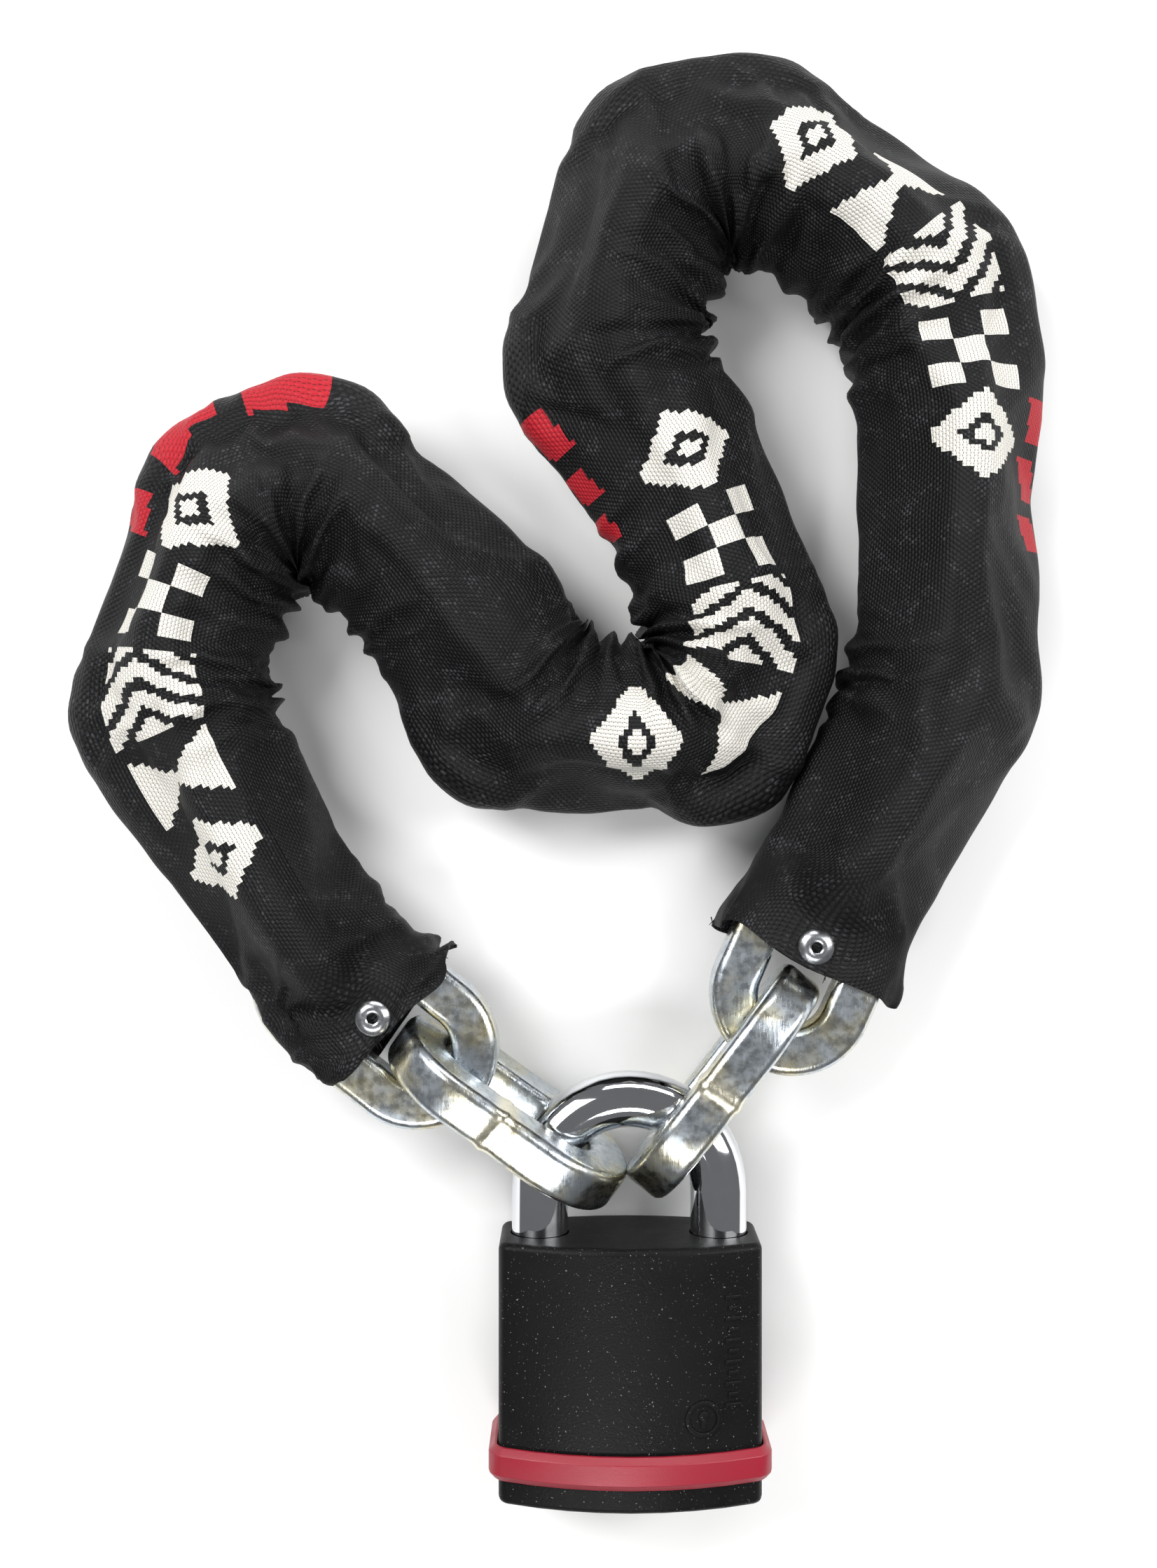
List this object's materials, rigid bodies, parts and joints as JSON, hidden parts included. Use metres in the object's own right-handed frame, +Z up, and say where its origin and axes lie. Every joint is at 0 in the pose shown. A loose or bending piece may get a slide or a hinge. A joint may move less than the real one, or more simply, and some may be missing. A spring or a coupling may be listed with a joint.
{
  "type": "chain lock",
  "caption": "Ball-locking padlock with a bumper ring, closed on both end links of a square-link chain that lies in a loop inside a riveted woven sleeve.",
  "frame": {"origin": "on the floor plane, at the middle of the overall footprint", "axes": "+Y from the keyway end of the padlock towards the far end of the chain loop, +Z up through the padlock's front face, +X towards the heel leg of the shackle"},
  "size_m": [0.2286, 0.3362, 0.0406],
  "materials": {
    "coat": "black textured coating over a solid steel body",
    "bumper": "moulded red elastomer, semi-gloss",
    "chrome": "polished chromium plate over hardened steel",
    "zinc": "zinc plate with a clear passivate over hardened steel",
    "steel": "plain machined steel",
    "brass": "machined brass",
    "aluminium": "drawn aluminium",
    "webbing": "black woven polyester tube with woven pale motifs"
  },
  "bodies": {
    "padlock": {"padlock_body": "coat", "bumper_ring": "bumper", "cylinder_shell": "brass", "drill_plate": "steel", "retaining_screw": "steel", "shackle_spring": "steel", "driver_pin_1": "steel", "driver_pin_2": "steel", "driver_pin_3": "steel", "driver_pin_4": "steel", "driver_pin_5": "steel", "pin_spring_1": "steel", "pin_spring_2": "steel", "pin_spring_3": "steel", "pin_spring_4": "steel", "pin_spring_5": "steel"},
    "plug": {"plug": "brass", "cam": "steel", "key_pin_1": "brass", "key_pin_2": "brass", "key_pin_3": "brass", "key_pin_4": "brass", "key_pin_5": "brass"},
    "ball_toe": {"locking_ball_toe": "steel"},
    "ball_heel": {"locking_ball_heel": "steel"},
    "shackle": {"shackle": "chrome"},
    "link_01": {"link_01": "zinc"},
    "link_02": {"link_02": "zinc", "rivet_left": "aluminium", "rivet_washer_left": "steel"},
    "link_03": {"link_03": "zinc"},
    "link_04": {"link_04": "zinc"},
    "link_05": {"link_05": "zinc"},
    "link_06": {"link_06": "zinc"},
    "link_07": {"link_07": "zinc"},
    "link_08": {"link_08": "zinc"},
    "link_09": {"link_09": "zinc"},
    "link_10": {"link_10": "zinc"},
    "link_11": {"link_11": "zinc", "sleeve": "webbing"},
    "link_12": {"link_12": "zinc"},
    "link_13": {"link_13": "zinc"},
    "link_14": {"link_14": "zinc"},
    "link_15": {"link_15": "zinc"},
    "link_16": {"link_16": "zinc"},
    "link_17": {"link_17": "zinc"},
    "link_18": {"link_18": "zinc"},
    "link_19": {"link_19": "zinc"},
    "link_20": {"link_20": "zinc", "rivet_right": "aluminium", "rivet_washer_right": "steel"},
    "link_21": {"link_21": "zinc"}
  },
  "joints": [
    {"name": "shackle_lift", "type": "slide", "parent": "padlock", "child": "shackle", "axis": [0, 1, 0], "range_m": [0, 0.018], "deforming": ["shackle_spring"]},
    {"name": "plug_turn", "type": "hinge", "parent": "padlock", "child": "plug", "pos_m": [0.01717, -0.13229, 0.0203], "axis": [0, 1, 0], "range_deg": [0, 90]},
    {"name": "ball_toe_slide", "type": "slide", "parent": "padlock", "child": "ball_toe", "axis": [1, 0, 0], "range_m": [0, 0.003]},
    {"name": "ball_heel_slide", "type": "slide", "parent": "padlock", "child": "ball_heel", "axis": [-1, 0, 0], "range_m": [0, 0.003]},
    {"name": "link_01_swing", "type": "hinge", "parent": "shackle", "child": "link_01", "pos_m": [-0.00085, -0.08721, 0.0203], "axis": [0, 0, 1], "range_deg": [-1.82, 1.82], "deforming": ["sleeve"]},
    {"name": "link_02_swing", "type": "hinge", "parent": "link_01", "child": "link_02", "pos_m": [-0.03243, -0.06484, 0.0203], "axis": [0, 0, 1], "range_deg": [-4, 4], "deforming": ["sleeve"]},
    {"name": "link_03_swing", "type": "hinge", "parent": "link_02", "child": "link_03", "pos_m": [-0.05214, -0.04945, 0.0203], "axis": [0, 0, 1], "range_deg": [-3.23, 3.23], "deforming": ["sleeve"]},
    {"name": "link_04_swing", "type": "hinge", "parent": "link_03", "child": "link_04", "pos_m": [-0.0786, -0.00469, 0.0203], "axis": [0, 0, 1], "range_deg": [-3.68, 3.68], "deforming": ["sleeve"]},
    {"name": "link_05_swing", "type": "hinge", "parent": "link_04", "child": "link_05", "pos_m": [-0.094, 0.01501, 0.0203], "axis": [0, 0, 1], "range_deg": [-2.66, 2.66], "deforming": ["sleeve"]},
    {"name": "link_06_swing", "type": "hinge", "parent": "link_05", "child": "link_06", "pos_m": [-0.07827, 0.06457, 0.0203], "axis": [0, 0, 1], "range_deg": [-1.65, 1.65], "deforming": ["sleeve"]},
    {"name": "link_07_swing", "type": "hinge", "parent": "link_06", "child": "link_07", "pos_m": [-0.05477, 0.07308, 0.0203], "axis": [0, 0, 1], "range_deg": [-3.02, 3.02], "deforming": ["sleeve"]},
    {"name": "link_08_swing", "type": "hinge", "parent": "link_07", "child": "link_08", "pos_m": [-0.01838, 0.03593, 0.0203], "axis": [0, 0, 1], "range_deg": [-4, 4], "deforming": ["sleeve"]},
    {"name": "link_09_swing", "type": "hinge", "parent": "link_08", "child": "link_09", "pos_m": [-0.014, 0.01132, 0.0203], "axis": [0, 0, 1], "range_deg": [-2.65, 2.65], "deforming": ["sleeve"]},
    {"name": "link_10_swing", "type": "hinge", "parent": "link_09", "child": "link_10", "pos_m": [0.03781, 0.00688, 0.0203], "axis": [0, 0, 1], "range_deg": [-1.57, 1.57], "deforming": ["sleeve"]},
    {"name": "link_11_swing", "type": "hinge", "parent": "link_10", "child": "link_11", "pos_m": [0.04632, 0.03038, 0.0203], "axis": [0, 0, 1], "range_deg": [-3.16, 3.16], "deforming": ["sleeve"]},
    {"name": "link_12_swing", "type": "hinge", "parent": "link_11", "child": "link_12", "pos_m": [0.02592, 0.07822, 0.0203], "axis": [0, 0, 1], "range_deg": [-4, 4], "deforming": ["sleeve"]},
    {"name": "link_13_swing", "type": "hinge", "parent": "link_12", "child": "link_13", "pos_m": [0.00702, 0.09458, 0.0203], "axis": [0, 0, 1], "range_deg": [-2.43, 2.43], "deforming": ["sleeve"]},
    {"name": "link_14_swing", "type": "hinge", "parent": "link_13", "child": "link_14", "pos_m": [0.02318, 0.14401, 0.0203], "axis": [0, 0, 1], "range_deg": [-2.36, 2.36], "deforming": ["sleeve"]},
    {"name": "link_15_swing", "type": "hinge", "parent": "link_14", "child": "link_15", "pos_m": [0.04791, 0.14762, 0.0203], "axis": [0, 0, 1], "range_deg": [-3.99, 3.99], "deforming": ["sleeve"]},
    {"name": "link_16_swing", "type": "hinge", "parent": "link_15", "child": "link_16", "pos_m": [0.08977, 0.11676, 0.0203], "axis": [0, 0, 1], "range_deg": [-4, 4], "deforming": ["sleeve"]},
    {"name": "link_17_swing", "type": "hinge", "parent": "link_16", "child": "link_17", "pos_m": [0.09398, 0.09212, 0.0203], "axis": [0, 0, 1], "range_deg": [-2.4, 2.4], "deforming": ["sleeve"]},
    {"name": "link_18_swing", "type": "hinge", "parent": "link_17", "child": "link_18", "pos_m": [0.09199, 0.04016, 0.0203], "axis": [0, 0, 1], "range_deg": [-0.7, 0.7], "deforming": ["sleeve"]},
    {"name": "link_19_swing", "type": "hinge", "parent": "link_18", "child": "link_19", "pos_m": [0.09207, 0.01516, 0.0203], "axis": [0, 0, 1], "range_deg": [-0.441, 0.441], "deforming": ["sleeve"]},
    {"name": "link_20_swing", "type": "hinge", "parent": "link_19", "child": "link_20", "pos_m": [0.06529, -0.02941, 0.0203], "axis": [0, 0, 1], "range_deg": [-4, 4], "deforming": ["sleeve"]},
    {"name": "link_21_swing", "type": "hinge", "parent": "link_20", "child": "link_21", "pos_m": [0.05512, -0.05225, 0.0203], "axis": [0, 0, 1], "range_deg": [-2.92, 2.92], "deforming": ["sleeve"]}
  ],
  "couplings": [
    {"joint": "plug_turn", "follows": "shackle_lift", "rad_per_m": 87.266},
    {"joint": "ball_toe_slide", "follows": "shackle_lift", "ratio": 0.16667},
    {"joint": "ball_heel_slide", "follows": "shackle_lift", "ratio": 0.16667},
    {"joint": "link_01_swing", "follows": "link_02_swing", "ratio": -0.45134},
    {"joint": "link_03_swing", "follows": "link_02_swing", "ratio": -0.80268},
    {"joint": "link_04_swing", "follows": "link_02_swing", "ratio": 0.91486},
    {"joint": "link_05_swing", "follows": "link_02_swing", "ratio": -0.66084},
    {"joint": "link_06_swing", "follows": "link_08_swing", "ratio": 0.40726},
    {"joint": "link_07_swing", "follows": "link_08_swing", "ratio": -0.74963},
    {"joint": "link_09_swing", "follows": "link_08_swing", "ratio": -0.65762},
    {"joint": "link_10_swing", "follows": "link_12_swing", "ratio": 0.38765},
    {"joint": "link_11_swing", "follows": "link_12_swing", "ratio": -0.78456},
    {"joint": "link_13_swing", "follows": "link_12_swing", "ratio": -0.60309},
    {"joint": "link_14_swing", "follows": "link_16_swing", "ratio": 0.58563},
    {"joint": "link_15_swing", "follows": "link_16_swing", "ratio": -0.99156},
    {"joint": "link_17_swing", "follows": "link_16_swing", "ratio": -0.59407},
    {"joint": "link_18_swing", "follows": "link_20_swing", "ratio": -0.17042},
    {"joint": "link_19_swing", "follows": "link_20_swing", "ratio": -0.10517},
    {"joint": "link_21_swing", "follows": "link_20_swing", "ratio": -0.72441}
  ]
}
